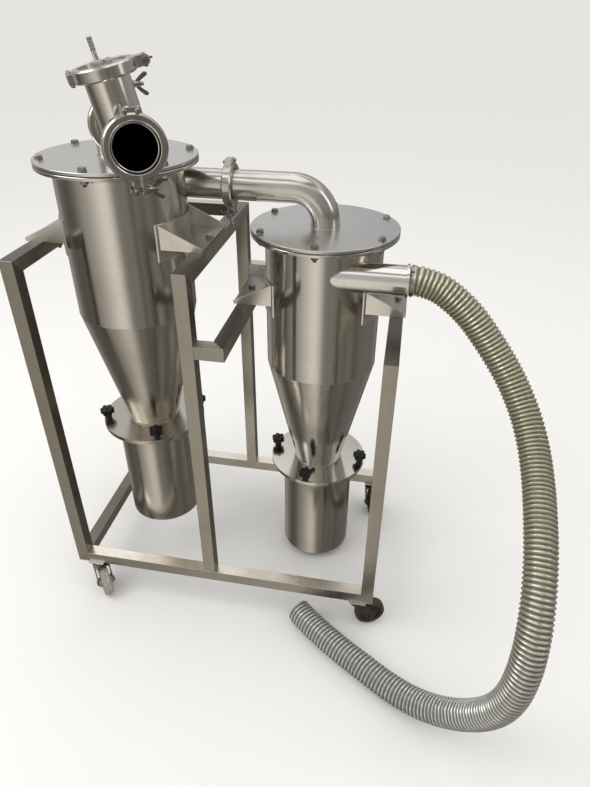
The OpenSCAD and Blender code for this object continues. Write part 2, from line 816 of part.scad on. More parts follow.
// A wheel on its axle: a hub, a web and a rounded tread.
module wheel() {
    bore = axle_d / 2 + pin_clearance;
    half = wheel_w / 2;
    hub_r = wheel_hub_d / 2;
    color([0.55, 0.53, 0.48]) translate([trail, 0, wheel_r]) rotate([90, 0, 0]) rotate_extrude() polygon([
        [bore, -hub_half], [hub_r - 1, -hub_half], [hub_r, -hub_half + 1], [hub_r, -half + 8],
        [wheel_r - tread_t, -half + 8], [wheel_r - tread_t, -half + 1], [wheel_r - tread_t + 1, -half],
        [wheel_r - 4, -half], [wheel_r - 1, -half + 3], [wheel_r, -half + 8],
        [wheel_r, half - 8], [wheel_r - 1, half - 3], [wheel_r - 4, half],
        [wheel_r - tread_t + 1, half], [wheel_r - tread_t, half - 1], [wheel_r - tread_t, half - 8],
        [hub_r, half - 8], [hub_r, hub_half - 1], [hub_r - 1, hub_half], [bore, hub_half]
    ]);
}

module front_left_fork() at_caster(0) fork();
module front_right_fork() at_caster(1) fork();
module rear_left_fork() at_caster(2) fork();
module rear_right_fork() at_caster(3) fork();
module front_left_wheel() at_caster(0) wheel();
module front_right_wheel() at_caster(1) wheel();
module rear_left_wheel() at_caster(2) wheel();
module rear_right_wheel() at_caster(3) wheel();

translate([-origin_x, -origin_y, 0]) {
    base_front_rail();
    base_rear_rail();
    base_left_rail();
    base_right_rail();
    left_front_post();
    left_rear_post();
    left_top_rail();
    middle_front_post();
    middle_rear_post();
    middle_top_rail();
    right_front_post();
    right_rear_post();
    right_top_rail();
    rear_cross_rail();
    inner_front_stub();
    inner_top_rail();
    inner_rear_rail();
    barrel_1();
    cone_1();
    lid_1();
    lid_gasket_1();
    brackets_1();
    pot_1();
    knobs_1();
    barrel_2();
    cone_2();
    lid_2();
    lid_gasket_2();
    brackets_2();
    pot_2();
    knobs_2();
    crossover_pipe();
    crossover_elbow();
    crossover_clamp();
    inlet_pipe();
    outlet_elbow();
    outlet_tee();
    outlet_cap();
    outlet_clamps();
    hose();
    caster_plates();
    front_left_fork();
    front_right_fork();
    rear_left_fork();
    rear_right_fork();
    front_left_wheel();
    front_right_wheel();
    rear_left_wheel();
    rear_right_wheel();
}
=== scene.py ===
import math

import bmesh
import bpy
from mathutils import Matrix, Vector


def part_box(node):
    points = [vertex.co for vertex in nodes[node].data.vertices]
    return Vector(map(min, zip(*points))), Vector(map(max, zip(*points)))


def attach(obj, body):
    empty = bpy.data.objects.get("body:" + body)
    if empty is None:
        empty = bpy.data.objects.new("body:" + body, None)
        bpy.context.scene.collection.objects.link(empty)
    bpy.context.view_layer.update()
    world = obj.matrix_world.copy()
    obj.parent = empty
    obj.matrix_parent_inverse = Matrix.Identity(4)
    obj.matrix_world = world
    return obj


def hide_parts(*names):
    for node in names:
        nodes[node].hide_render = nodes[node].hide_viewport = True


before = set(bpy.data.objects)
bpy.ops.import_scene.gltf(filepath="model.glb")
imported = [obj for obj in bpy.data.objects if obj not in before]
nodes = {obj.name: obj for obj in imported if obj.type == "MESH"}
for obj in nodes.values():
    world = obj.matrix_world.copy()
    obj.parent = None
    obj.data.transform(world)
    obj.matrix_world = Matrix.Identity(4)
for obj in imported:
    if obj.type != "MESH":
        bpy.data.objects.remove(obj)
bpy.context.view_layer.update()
print("stage: frame loaded")

mm = 0.001
up = Vector((0, 0, 1))

# Sizes are in metres. Places are in millimetres from the frame's front left corner on the floor.
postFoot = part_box("left_front_post")[0]
frameCorner = Vector((postFoot.x, postFoot.y, 0))


def at(x, y, z):
    return frameCorner + Vector((x, y, z)) * mm


def shift(x, y, z):
    return Matrix.Translation((x, y, z))


def turned(axis, degrees):
    return Matrix.Rotation(math.radians(degrees), 4, axis)


def linkObject(name, data):
    thing = bpy.data.objects.new(name, data)
    bpy.context.scene.collection.objects.link(thing)
    return thing


# Camera, at the photograph's place as its straight edges give it

camera = {
    "imageHeight": 787,
    "focalPixels": 610.68,
    "sensorHeight": 24,
    "clip": (0.05, 200),
    "eye": (921.5, -1204.7, 1644.4),
    "right": (0.9833, 0.1818, 0.0043),
    "above": (-0.1034, 0.5394, 0.8357),
}


def makeCamera():
    data = bpy.data.cameras.new("photoCamera")
    data.sensor_fit = "VERTICAL"
    data.sensor_height = camera["sensorHeight"]
    data.lens = camera["focalPixels"] * camera["sensorHeight"] / camera["imageHeight"]
    data.clip_start, data.clip_end = camera["clip"]
    right = Vector(camera["right"]).normalized()
    above = Vector(camera["above"])
    above = (above - right * above.dot(right)).normalized()
    turn = Matrix((right, above, right.cross(above))).transposed()
    eye = linkObject("photoCamera", data)
    eye.matrix_world = shift(*at(*camera["eye"])) @ turn.to_4x4()
    bpy.context.scene.camera = eye


makeCamera()


# Helpers for node trees

# Sets inputs by name or number: a socket is linked, and anything else is the input's own value
def feed(tree, node, inputs):
    for key, value in inputs.items():
        socket = node.inputs[key]
        if isinstance(value, bpy.types.NodeSocket):
            tree.links.new(value, socket)
        elif socket.type == "RGBA":
            socket.default_value = (*value, 1)
        else:
            socket.default_value = value


def addNode(tree, kind, inputs=None, **settings):
    node = tree.nodes.new(kind)
    for key, value in settings.items():
        setattr(node, key, value)
    feed(tree, node, inputs or {})
    return node


def mathNode(tree, operation, *values):
    return addNode(tree, "ShaderNodeMath", dict(enumerate(values)), operation=operation).outputs["Value"]


def scaleVector(tree, vector, scale):
    scaled = addNode(tree, "ShaderNodeVectorMath", {0: vector, "Scale": scale}, operation="SCALE")
    return scaled.outputs["Vector"]


def remap(tree, value, low, high, fromLow=0.3, fromHigh=0.7):
    limits = {"Value": value, "From Min": fromLow, "From Max": fromHigh, "To Min": low, "To Max": high}
    return addNode(tree, "ShaderNodeMapRange", limits).outputs["Result"]


# On a colour mix, sockets 6 and 7 take the colours and output 2 gives the result
def mixColours(tree, factor, first, second, blend="MIX"):
    mixed = {"Factor": factor, 6: first, 7: second}
    return addNode(tree, "ShaderNodeMix", mixed, data_type="RGBA", blend_type=blend).outputs[2]


def mixShaders(tree, factor, first, second):
    return addNode(tree, "ShaderNodeMixShader", {0: factor, 1: first, 2: second}).outputs["Shader"]


# Noise on Object coordinates; scale is waves a metre, one number or one for each axis
def objectNoise(tree, scale, detail=3.0, roughness=0.5):
    waves = scale if isinstance(scale, tuple) else (scale, scale, scale)
    place = addNode(tree, "ShaderNodeTexCoord").outputs["Object"]
    mapped = addNode(tree, "ShaderNodeMapping", {"Vector": place, "Scale": waves}).outputs["Vector"]
    look = {"Vector": mapped, "Scale": 1, "Detail": detail, "Roughness": roughness}
    return addNode(tree, "ShaderNodeTexNoise", look).outputs["Fac"]


# Materials

def newMaterial(name):
    material = bpy.data.materials.new(name)
    material.use_nodes = True
    tree = material.node_tree
    return material, tree, tree.nodes["Principled BSDF"]


def addBump(tree, shader, height, distance):
    bump = addNode(tree, "ShaderNodeBump", {"Height": height, "Distance": distance})
    feed(tree, shader, {"Normal": bump.outputs["Normal"]})


# Folded and drawn steel has rounded corners that catch the light
def roundCorners(tree, shader, radius):
    rounded = addNode(tree, "ShaderNodeBevel", {"Radius": radius}, samples=6)
    feed(tree, shader, {"Normal": rounded.outputs["Normal"]})


facingBetween = (0.8, 0.95)  # parts of the normal along an axis from which a face counts as looking that way


# Painted light: scales the tone of the faces that look along one axis, darker as painted shade or lighter as
# a painted highlight
def paintFaceLight(tree, tone, axis, factor):
    normal = addNode(tree, "ShaderNodeNewGeometry").outputs["Normal"]
    facing = addNode(tree, "ShaderNodeSeparateXYZ", {"Vector": normal}).outputs[axis]
    scale = remap(tree, facing, 1.0, factor, *facingBetween)
    return scaleVector(tree, tone, scale)


# What all steel finishes share: how lines and smudges are mottled, and how smudges tint and dull the steel
steelWear = {
    "lineDetail": (4.0, 0.65),
    "smudgeDetail": (5.0, 0.6),
    "stain": (0.86, 0.80, 0.72),  # of the dark tone
    "stainMost": 0.6,
    "stainBetween": (0.48, 0.78),
    "polish": -0.03,
    "dullness": 0.07,
}


# Steel with fine lines and broad, faint smudges; lines raises the lines, corner rounds the edges,
# and shade is the axis and factor of painted light on the faces that look along that axis: painted shade
# below 1, a painted highlight above
def brushedSteel(name, light, dark, grain, gloss, smudge, lines=0.0, corner=0.0, shade=None):
    material, tree, shader = newMaterial(name)
    streaks = objectNoise(tree, grain, *steelWear["lineDetail"])
    patches = objectNoise(tree, smudge, *steelWear["smudgeDetail"])
    tone = mixColours(tree, remap(tree, streaks, 0.0, 1.0), dark, light)
    stained = tuple(part * share for part, share in zip(dark, steelWear["stain"]))
    stains = remap(tree, patches, 0.0, steelWear["stainMost"], *steelWear["stainBetween"])
    tone = mixColours(tree, stains, tone, stained)
    # painted light: faces along one axis are darkened as painted shade or lightened as a painted highlight
    if shade:
        tone = paintFaceLight(tree, tone, *shade)
    roughness = remap(tree, patches, gloss + steelWear["polish"], gloss + steelWear["dullness"])
    feed(tree, shader, {"Base Color": tone, "Metallic": 1, "Roughness": roughness})
    if lines:
        addBump(tree, shader, streaks, lines)
    elif corner:
        roundCorners(tree, shader, corner)
    return material


alongX = (3, 420, 420)
alongY = (420, 3, 420)
alongZ = (420, 420, 3)
aroundZ = (3, 3, 260)
frameTube = {
    "light": (0.41, 0.38, 0.325), "dark": (0.36, 0.335, 0.285),
    "gloss": 0.26, "smudge": 6.0, "corner": 0.0015,
}

steels = {
    # post sides that face +X are at half tone: painted shade
    "postSteel": {**frameTube, "grain": alongZ, "shade": ("X", 0.5)},
    # rail tops are at 0.45 of the tone: painted shade
    "sideRailSteel": {**frameTube, "grain": alongY, "shade": ("Z", 0.45)},
    # tones lowered so the rail fronts are painted shade, and tops raised 2.25 times as a painted highlight
    "crossRailSteel": {
        "light": (0.365, 0.345, 0.305), "dark": (0.325, 0.305, 0.27),
        "grain": alongX, "gloss": 0.24, "smudge": 6.0, "corner": 0.0015, "shade": ("Z", 2.25),
    },
    "shellSteel": {
        "light": (0.68, 0.65, 0.60), "dark": (0.645, 0.615, 0.565),
        "grain": aroundZ, "gloss": 0.15, "smudge": 4.0,
    },
    "potSteel": {
        "light": (0.575, 0.545, 0.49), "dark": (0.555, 0.525, 0.47),
        "grain": aroundZ, "gloss": 0.22, "smudge": 5.0,
    },
    "lidSteel": {
        "light": (0.70, 0.70, 0.695), "dark": (0.68, 0.68, 0.675),
        "grain": alongY, "gloss": 0.23, "smudge": 5.0, "corner": 0.0016,
    },
    # bracket tops are at half tone: painted shade
    "plateSteel": {
        "light": (0.84, 0.81, 0.755), "dark": (0.78, 0.75, 0.695),
        "grain": alongX, "gloss": 0.30, "smudge": 12.0, "corner": 0.0012, "shade": ("Z", 0.5),
    },
    "pipeSteel": {
        "light": (0.74, 0.72, 0.68), "dark": (0.70, 0.68, 0.635),
        "grain": 30, "gloss": 0.11, "smudge": 6.0,
    },
    # a darker, rougher copy of pipeSteel for the crossover; its lower tone is painted shade
    "bendSteel": {
        "light": (0.62, 0.60, 0.555), "dark": (0.56, 0.54, 0.495),
        "grain": 30, "gloss": 0.19, "smudge": 6.0,
    },
    "clampSteel": {
        "light": (0.62, 0.59, 0.535), "dark": (0.56, 0.535, 0.48),
        "grain": 60, "gloss": 0.20, "smudge": 14.0, "corner": 0.002,
    },
    "boltSteel": {
        "light": (0.46, 0.44, 0.40), "dark": (0.28, 0.265, 0.235),
        "grain": 240, "gloss": 0.22, "smudge": 60.0, "lines": 0.000006,
    },
    "weldSteel": {
        "light": (0.66, 0.64, 0.60), "dark": (0.40, 0.36, 0.31),
        "grain": 300, "gloss": 0.34, "smudge": 90.0, "lines": 0.0001,
    },
    "zincSteel": {
        "light": (0.46, 0.44, 0.39), "dark": (0.20, 0.19, 0.16),
        "grain": 60, "gloss": 0.34, "smudge": 40.0, "lines": 0.00001,
    },
    # caster plates brighter than zincSteel: partly zinc's own colour, partly a painted highlight for their
    # glint
    "brightZinc": {
        "light": (0.80, 0.78, 0.75), "dark": (0.66, 0.64, 0.61),
        "grain": 60, "gloss": 0.20, "smudge": 40.0, "corner": 0.001,
    },
    # darker, mottled brown-olive steel on the right forks
    "dirtySteel": {
        "light": (0.30, 0.275, 0.19), "dark": (0.07, 0.064, 0.042),
        "grain": 110, "gloss": 0.48, "smudge": 70.0, "lines": 0.00003,
    },
}


# Rubber, plastic and the painted shade inside the hose's mouth: patches of two tones that also set the
# roughness, and a fine raised grain where one is given. The second tone grows between the two values of
# edges.
def dullFinish(name, tones, patches, edges, roughness, grain=0, raised=0.0, specular=0.5):
    material, tree, shader = newMaterial(name)
    dust = objectNoise(tree, *patches)
    feed(tree, shader, {
        "Base Color": mixColours(tree, remap(tree, dust, 0.0, 1.0, *edges), *tones),
        "Roughness": remap(tree, dust, *roughness),
        "Specular IOR Level": specular,
    })
    if grain:
        addBump(tree, shader, objectNoise(tree, grain), raised)
    return material


tread = {
    "patches": (150, 6.0, 0.7), "edges": (0.38, 0.62), "roughness": (0.5, 0.8),
    "grain": 700, "raised": 0.0001,
}

dullFinishes = {
    "gasketRubber": {
        "tones": ((0.012, 0.012, 0.012), (0.03, 0.029, 0.028)), "patches": (500,), "edges": (0.0, 1.0),
        "roughness": (0.55, 0.75),
    },
    "blackPlastic": {
        "tones": ((0.006, 0.006, 0.006), (0.03, 0.029, 0.027)), "patches": (45, 5.0), "edges": (0.5, 0.8),
        "roughness": (0.28, 0.5), "grain": 900, "raised": 0.00004, "specular": 0.3,
    },
    "paleTread": {**tread, "tones": ((0.22, 0.185, 0.155), (0.42, 0.385, 0.335))},
    "darkTread": {**tread, "tones": ((0.012, 0.011, 0.009), (0.085, 0.075, 0.05))},
    # near-black painted shade for the hose's mouth
    "insideDark": {
        "tones": ((0.015, 0.015, 0.014), (0.045, 0.043, 0.04)), "patches": (80,), "edges": (0.0, 1.0),
        "roughness": (0.5, 0.7),
    },
}

# Each colour at the pipe and at the floor end; the change is between two shares of the hose's length
hoseLook = {
    # the near-black groove is painted shade in the corrugation's hollows
    "groove": ((0.045, 0.040, 0.018), (0.045, 0.044, 0.040)),
    "flank": ((0.20, 0.185, 0.095), (0.22, 0.22, 0.20)),
    # the pale crest is partly the wire's own silver, partly a painted highlight
    "crest": ((0.72, 0.69, 0.54), (0.80, 0.81, 0.80)),
    "change": (0.35, 0.7),
    "grooveToFlank": (0.02, 0.30),
    "flankToCrest": (0.45, 0.90),
    "metalMost": 0.85,
    "metalBetween": (0.3, 0.9),
    "wearNoise": (55, 5.0),
    "wearColour": (0.20, 0.20, 0.12),
    "wearMost": 0.5,
    "wearBetween": (0.45, 0.8),
    "roughness": (0.22, 0.36),
    "coat": (0.7, 0.14),
}


# Rounded pale ridges with olive flanks and dark grooves, where the dark grooves are painted shade and the
# pale crests are partly the wire's silver and partly a painted highlight; the hose turns silvery toward the
# floor end
def hosePlastic():
    material, tree, shader = newMaterial("hosePlastic")
    ridge = addNode(tree, "ShaderNodeAttribute", attribute_name="ridge").outputs["Fac"]
    along = addNode(tree, "ShaderNodeAttribute", attribute_name="along").outputs["Fac"]
    change = remap(tree, along, 0.0, 1.0, *hoseLook["change"])
    parts = ("groove", "flank", "crest")
    groove, flank, crest = (mixColours(tree, change, *hoseLook[part]) for part in parts)
    tone = mixColours(tree, remap(tree, ridge, 0.0, 1.0, *hoseLook["grooveToFlank"]), groove, flank)
    tone = mixColours(tree, remap(tree, ridge, 0.0, 1.0, *hoseLook["flankToCrest"]), tone, crest)
    wear = objectNoise(tree, *hoseLook["wearNoise"])
    worn = remap(tree, wear, 0.0, hoseLook["wearMost"], *hoseLook["wearBetween"])
    coat, coatRoughness = hoseLook["coat"]
    feed(tree, shader, {
        "Base Color": mixColours(tree, worn, tone, hoseLook["wearColour"]),
        "Metallic": remap(tree, ridge, 0.0, hoseLook["metalMost"], *hoseLook["metalBetween"]),
        "Roughness": remap(tree, wear, *hoseLook["roughness"]),
        "Coat Weight": coat,
        "Coat Roughness": coatRoughness,
    })
    return material


materials = {name: brushedSteel(name, **look) for name, look in steels.items()}
materials.update({name: dullFinish(name, **look) for name, look in dullFinishes.items()})
materials["hosePlastic"] = hosePlastic()

nodeMaterials = {
    "crossRailSteel": [
        "base_front_rail", "base_rear_rail", "rear_cross_rail", "inner_front_stub", "inner_rear_rail",
    ],
    "sideRailSteel": [
        "base_left_rail", "base_right_rail", "left_top_rail", "middle_top_rail", "right_top_rail",
        "inner_top_rail",
    ],
    "postSteel": [
        "left_front_post", "left_rear_post", "middle_front_post", "middle_rear_post", "right_front_post",
        "right_rear_post",
    ],
    "shellSteel": ["barrel_1", "barrel_2", "cone_2"],
    "potSteel": ["cone_1", "pot_1", "pot_2"],
    "lidSteel": ["lid_1", "lid_2", "outlet_cap"],
    "plateSteel": ["brackets_1", "brackets_2"],
    "bendSteel": ["crossover_pipe", "crossover_elbow"],
    "pipeSteel": ["inlet_pipe", "outlet_elbow", "outlet_tee"],
    "clampSteel": ["crossover_clamp", "outlet_clamps"],
    "gasketRubber": ["lid_gasket_1", "lid_gasket_2"],
    "blackPlastic": ["knobs_1", "knobs_2"],
    "brightZinc": ["caster_plates"],
    "zincSteel": ["front_left_fork", "rear_left_fork"],
    "dirtySteel": ["front_right_fork", "rear_right_fork"],
    "paleTread": ["front_left_wheel", "rear_left_wheel"],
    "darkTread": ["front_right_wheel", "rear_right_wheel"],
    "hosePlastic": ["hose"],
}
for materialName, members in nodeMaterials.items():
    for member in members:
        nodes[member].data.materials.clear()
        nodes[member].data.materials.append(materials[materialName])
print("stage: materials")


# Helpers for pieces

sharpAngle = math.radians(35)


def linkMesh(name, bm):
    bmesh.ops.recalc_face_normals(bm, faces=bm.faces)
    mesh = bpy.data.meshes.new(name)
    bm.to_mesh(mesh)
    bm.free()
    return linkObject(name, mesh)


def finishPiece(piece, material, body="root"):
    piece.data.materials.clear()
    piece.data.materials.append(materials[material])
    for polygon in piece.data.polygons:
        polygon.use_smooth = True
    piece.data.set_sharp_from_angle(angle=sharpAngle)
    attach(piece, body)
    return piece


# Turns a piece with live modifiers into a plain mesh
def bake(piece):
    bpy.context.view_layer.update()
    graph = bpy.context.evaluated_depsgraph_get()
    mesh = bpy.data.meshes.new_from_object(piece.evaluated_get(graph))
    name = piece.name
    bpy.data.objects.remove(piece)
    return linkObject(name, mesh)


def circleAngles(count):
    return [2 * math.pi * k / count for k in range(count)]


def onCircle(angle, radius):
    return Vector((math.cos(angle), math.sin(angle), 0)) * radius


def roundOutline(radius, sides):
    return [(radius * math.cos(angle), radius * math.sin(angle)) for angle in circleAngles(sides)]


# Faces between each ring of vertices and the next
def joinRings(bm, rings):
    for a, b in zip(rings, rings[1:]):
        for k in range(len(a)):
            n = (k + 1) % len(a)
            bm.faces.new((a[k], a[n], b[n], b[k]))


# A shell through (outline, height) levels from bottom to top, moved by a matrix, with faces on its ends
def addLoft(bm, levels, place, ends=True):
    rings = [[bm.verts.new(place @ Vector((x, y, z))) for x, y in outline] for outline, z in levels]
    joinRings(bm, rings)
    if ends:
        bm.faces.new(list(reversed(rings[0])))
        bm.faces.new(rings[-1])


# A turned solid about Z through a profile of (radius, height)
def addLathe(bm, profile, place, sides=24):
    addLoft(bm, [(roundOutline(radius, sides), height) for radius, height in profile], place)


hair = 0.00005  # added to a dome's radius, so that its top ring isn't a point


# A quarter-round dome
def addDome(bm, radius, height, place, sides=16, steps=5):
    profile = []
    for k in range(steps + 1):
        rise = 0.5 * math.pi * k / steps
        profile.append((radius * math.cos(rise) + hair, height * math.sin(rise)))
    addLathe(bm, profile, place, sides)


# Sweeps a round section along a closed line, with a radius for each point
def sweepLoop(bm, points, radii, sides):
    ways = [(points[(i + 1) % len(points)] - points[i - 1]).normalized() for i in range(len(points))]
    side = ways[0].orthogonal().normalized()
    rings = []
    for point, way, radius in zip(points, ways, radii):
        side = (side - way * side.dot(way)).normalized()
        other = way.cross(side)
        rings.append([
            bm.verts.new(point + (side * math.cos(angle) + other * math.sin(angle)) * radius)
            for angle in circleAngles(sides)
        ])
    # the first ring is turned to meet the last one without a twist
    start = min(range(sides), key=lambda k: (rings[0][k].co - rings[-1][0].co).length)
    joinRings(bm, rings + [rings[0][start:] + rings[0][:start]])


def addRing(bm, radius, section, place, sides=64, around=8):
    points = [place @ onCircle(angle, radius) for angle in circleAngles(sides)]
    sweepLoop(bm, points, [section] * sides, around)


# Helpers for Geometry Nodes

# A tree with a geometry input and output and the named inputs, which a modifier sets
def newTree(name, inputs):
    tree = bpy.data.node_groups.new(name, "GeometryNodeTree")
    tree.interface.new_socket("Geometry", in_out="INPUT", socket_type="NodeSocketGeometry")
    for label, kind in inputs.items():
        tree.interface.new_socket(label, in_out="INPUT", socket_type="NodeSocket" + kind)
    tree.interface.new_socket("Geometry", in_out="OUTPUT", socket_type="NodeSocketGeometry")
    return tree, tree.nodes.new("NodeGroupInput").outputs


# Every tree ends in real geometry with its material on
def endTree(tree, given, geometry):
    real = addNode(tree, "GeometryNodeRealizeInstances", {"Geometry": geometry}).outputs["Geometry"]
    dressed = addNode(tree, "GeometryNodeSetMaterial", {"Geometry": real, "Material": given["Material"]})
    addNode(tree, "NodeGroupOutput", {"Geometry": dressed.outputs["Geometry"]})
    return tree


def addModifier(piece, tree, values):
    modifier = piece.modifiers.new(tree.name, "NODES")
    modifier.node_group = tree
    for item in tree.interface.items_tree:
        if item.in_out == "INPUT" and item.name in values:
            modifier[item.identifier] = values[item.name]


# Hose

hose = {
    "diameter": 0.076,
    "groove": 0.0040,
    "pitch": 0.0114,
    "sharpness": 1.1,
    "around": 32,
    "ringsPerRidge": 9,
    "stepsPerPoint": 12,
    "bore": 0.0335,
    "boreEnd": 0.0005,
    "mouthIn": 0.001,
    "mouthDepth": 0.07,
    # the route of part.scad in millimetres
    "route": [
        (944, 237, 1049), (974, 237, 1049), (1030, 234, 1031), (1098, 222, 981), (1160, 200, 914),
        (1215, 165, 846), (1256, 115, 782), (1281, 52, 727), (1292, -25, 680), (1294, -106, 641),
        (1293, -187, 597), (1290, -259, 540), (1286, -310, 469), (1279, -340, 389), (1267, -348, 306),
        (1245, -337, 227), (1206, -314, 155), (1150, -284, 96), (1083, -248, 57), (1009, -206, 40),
        (929, -157, 38), (845, -104, 38), (773, -52, 38), (718, -6, 38),
    ],
}


# A smooth line through the points, with the given number of steps between two of them
def smoothRoute(points, steps):
    line = []
    last = len(points) - 1
    for i in range(last):
        p0, p1, p2, p3 = points[max(i - 1, 0)], points[i], points[i + 1], points[min(i + 2, last)]
        for k in range(steps):
            t = k / steps
            line.append(0.5 * (
                2 * p1 + (p2 - p0) * t + (2 * p0 - 5 * p1 + 4 * p2 - p3) * t ** 2
                + (3 * p1 - p0 - 3 * p2 + p3) * t ** 3))
    line.append(points[-1])
    return line


# Keeps each point's share of its own curve through the sweep that joins the two curves
def keepShare(tree, curve, label):
    keep = addNode(tree, "GeometryNodeCaptureAttribute", domain="POINT")
    keep.capture_items.new("FLOAT", label)
    share = addNode(tree, "GeometryNodeSplineParameter").outputs["Factor"]
    feed(tree, keep, {"Geometry": curve, label: share})
    return keep.outputs["Geometry"], keep.outputs[label]


# Sweeps a circle along a curve and cuts a helical groove into it
def corrugatedTree():
    tree, given = newTree("corrugated", {
        "Radius": "Float", "Groove": "Float", "Pitch": "Float", "Sharpness": "Float", "Length": "Float",
        "Rings": "Int", "Around": "Int", "Material": "Material",
    })
    route = addNode(tree, "GeometryNodeResampleCurve", {"Curve": given["Geometry"], "Count": given["Rings"]})
    line, along = keepShare(tree, route.outputs["Curve"], "Along")
    circle = addNode(
        tree, "GeometryNodeCurvePrimitiveCircle", {"Resolution": given["Around"], "Radius": given["Radius"]})
    section, around = keepShare(tree, circle.outputs["Curve"], "Round")
    tube = addNode(tree, "GeometryNodeCurveToMesh", {"Curve": line, "Profile Curve": section}).outputs["Mesh"]

    # ridge is 1 on a crest and 0 on the bottom of the groove, which runs round the hose once in a pitch
    turns = mathNode(tree, "DIVIDE", given["Length"], given["Pitch"])
    phase = mathNode(tree, "ADD", mathNode(tree, "MULTIPLY", along, turns), around)
    wave = mathNode(tree, "COSINE", mathNode(tree, "MULTIPLY", phase, 2 * math.pi))
    hollow = mathNode(tree, "MULTIPLY", mathNode(tree, "SUBTRACT", 1, wave), 0.5)
    ridge = mathNode(tree, "POWER", mathNode(tree, "SUBTRACT", 1, hollow), given["Sharpness"])
    depth = mathNode(tree, "MULTIPLY", mathNode(tree, "SUBTRACT", ridge, 1), given["Groove"])
    outward = addNode(tree, "GeometryNodeInputNormal").outputs["Normal"]
    carved = {"Geometry": tube, "Offset": scaleVector(tree, outward, depth)}
    geometry = addNode(tree, "GeometryNodeSetPosition", carved).outputs["Geometry"]

    for label, value in (("ridge", ridge), ("along", along)):
        stored = {"Geometry": geometry, "Name": label, "Value": value}
        store = addNode(tree, "GeometryNodeStoreNamedAttribute", stored, data_type="FLOAT", domain="POINT")
        geometry = store.outputs["Geometry"]
    smooth = addNode(tree, "GeometryNodeSetShadeSmooth", {"Geometry": geometry}).outputs["Geometry"]
    return endTree(tree, given, smooth)


def makeHose():
    route = [at(*point) for point in hose["route"]]
    line = smoothRoute(route, hose["stepsPerPoint"])
    length = sum((b - a).length for a, b in zip(line, line[1:]))
    curve = bpy.data.curves.new("hoseLine", "CURVE")
    curve.dimensions = "3D"
    spline = curve.splines.new("POLY")
    spline.points.add(len(line) - 1)
    for point, place in zip(spline.points, line):
        point.co = (*place, 1)
    piece = linkObject("suctionHose", curve)
    addModifier(piece, corrugatedTree(), {
        "Radius": hose["diameter"] / 2, "Groove": hose["groove"], "Pitch": hose["pitch"],
        "Sharpness": hose["sharpness"], "Length": length,
        "Rings": int(length / hose["pitch"] * hose["ringsPerRidge"]), "Around": hose["around"],
        "Material": materials["hosePlastic"],
    })
    piece = bake(piece)
    finishPiece(piece, "hosePlastic")
    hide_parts("hose")
    mouth = hoseMouth(line)
    print("stage: hose", round(length, 3), "m", len(piece.data.polygons), "faces")


# The wall and the bore at the hose's open end, near-black as painted shade and closed a little way in
def hoseMouth(line):
    bm = bmesh.new()
    way = (line[-1] - line[-2]).normalized()
    place = shift(*line[-1]) @ way.to_track_quat("Z", "Y").to_matrix().to_4x4()
    wall = hose["diameter"] / 2 - hose["groove"]
    face = -hose["mouthIn"]
    back = -hose["mouthDepth"]
    profile = [(wall, face), (hose["bore"], face), (hose["bore"], back), (hose["boreEnd"], back)]
    levels = [(roundOutline(radius, hose["around"]), height) for radius, height in profile]
    addLoft(bm, levels, place, ends=False)
    return finishPiece(linkMesh("hoseMouth", bm), "insideDark")


makeHose()


# Bolts, nuts and other small fasteners

bolt = {
    "across": 0.0165,
    "head": 0.0068,
    "nut": 0.00782,
    "washer": 0.010,
    "washerThick": 0.0018,
    "rod": 0.005,
    "tail": 0.009,
    "turnSpread": 1.0,  # radians between one head and another
}
hexagon = {"topShare": 0.9, "chamferFrom": 0.8}
thread = {"pitch": 0.0015, "rootShare": 0.88, "tipShare": 0.75, "sides": 12}


# A hexagon with a chamfer on its top
def hexHead(bm, across, height, place):
    radius = across / 2 / math.cos(math.pi / 6)
    full = roundOutline(radius, 6)
    top = roundOutline(radius * hexagon["topShare"], 6)
    addLoft(bm, [(full, 0), (full, height * hexagon["chamferFrom"]), (top, height)], place)


# A rod with thread-like grooves and a narrower tip
def threadedRod(bm, radius, low, high, place, pitch=thread["pitch"]):
    profile = []
    count = max(2, int((high - low) / pitch))
    for i in range(count):
        z = low + (high - low) * i / count
        profile += [(radius * thread["rootShare"], z), (radius, z + pitch / 2)]
    profile.append((radius * thread["tipShare"], high))
    addLathe(bm, profile, place, thread["sides"])


# A bolt with its washer on top and a washer, nut and thread end below; grip is the thickness between
def boltMesh(grip):
    bm = bmesh.new()
    thick = bolt["washerThick"]
    below = shift(0, 0, -grip)
    addLathe(bm, [(bolt["washer"], 0), (bolt["washer"], thick)], Matrix.Identity(4))
    hexHead(bm, bolt["across"], bolt["head"], shift(0, 0, thick))
    addLathe(bm, [(bolt["washer"], -thick), (bolt["washer"], 0)], below)
    hexHead(bm, bolt["across"], bolt["nut"], below @ shift(0, 0, -thick) @ turned("X", 180))
    threadedRod(bm, bolt["rod"], bolt["head"], bolt["head"] + bolt["tail"], below @ turned("X", 180))
    return linkMesh("boltPattern", bm)


# Puts a copy of an object on every point, each turned a little differently about the point's Z
def repeatTree():
    tree, given = newTree("repeatOnPoints", {
        "Part": "Object", "Turn Spread": "Float", "Seed": "Int", "Material": "Material",
    })
    part = addNode(tree, "GeometryNodeObjectInfo", {"Object": given["Part"]}).outputs["Geometry"]
    limits = {"Min": 0, "Max": given["Turn Spread"], "Seed": given["Seed"]}
    angle = addNode(tree, "FunctionNodeRandomValue", limits, data_type="FLOAT").outputs["Value"]
    turn = addNode(tree, "ShaderNodeCombineXYZ", {"Z": angle}).outputs["Vector"]
    copies = {"Points": given["Geometry"], "Instance": part, "Rotation": turn}
    placed = addNode(tree, "GeometryNodeInstanceOnPoints", copies).outputs["Instances"]
    return endTree(tree, given, placed)


repeat = repeatTree()


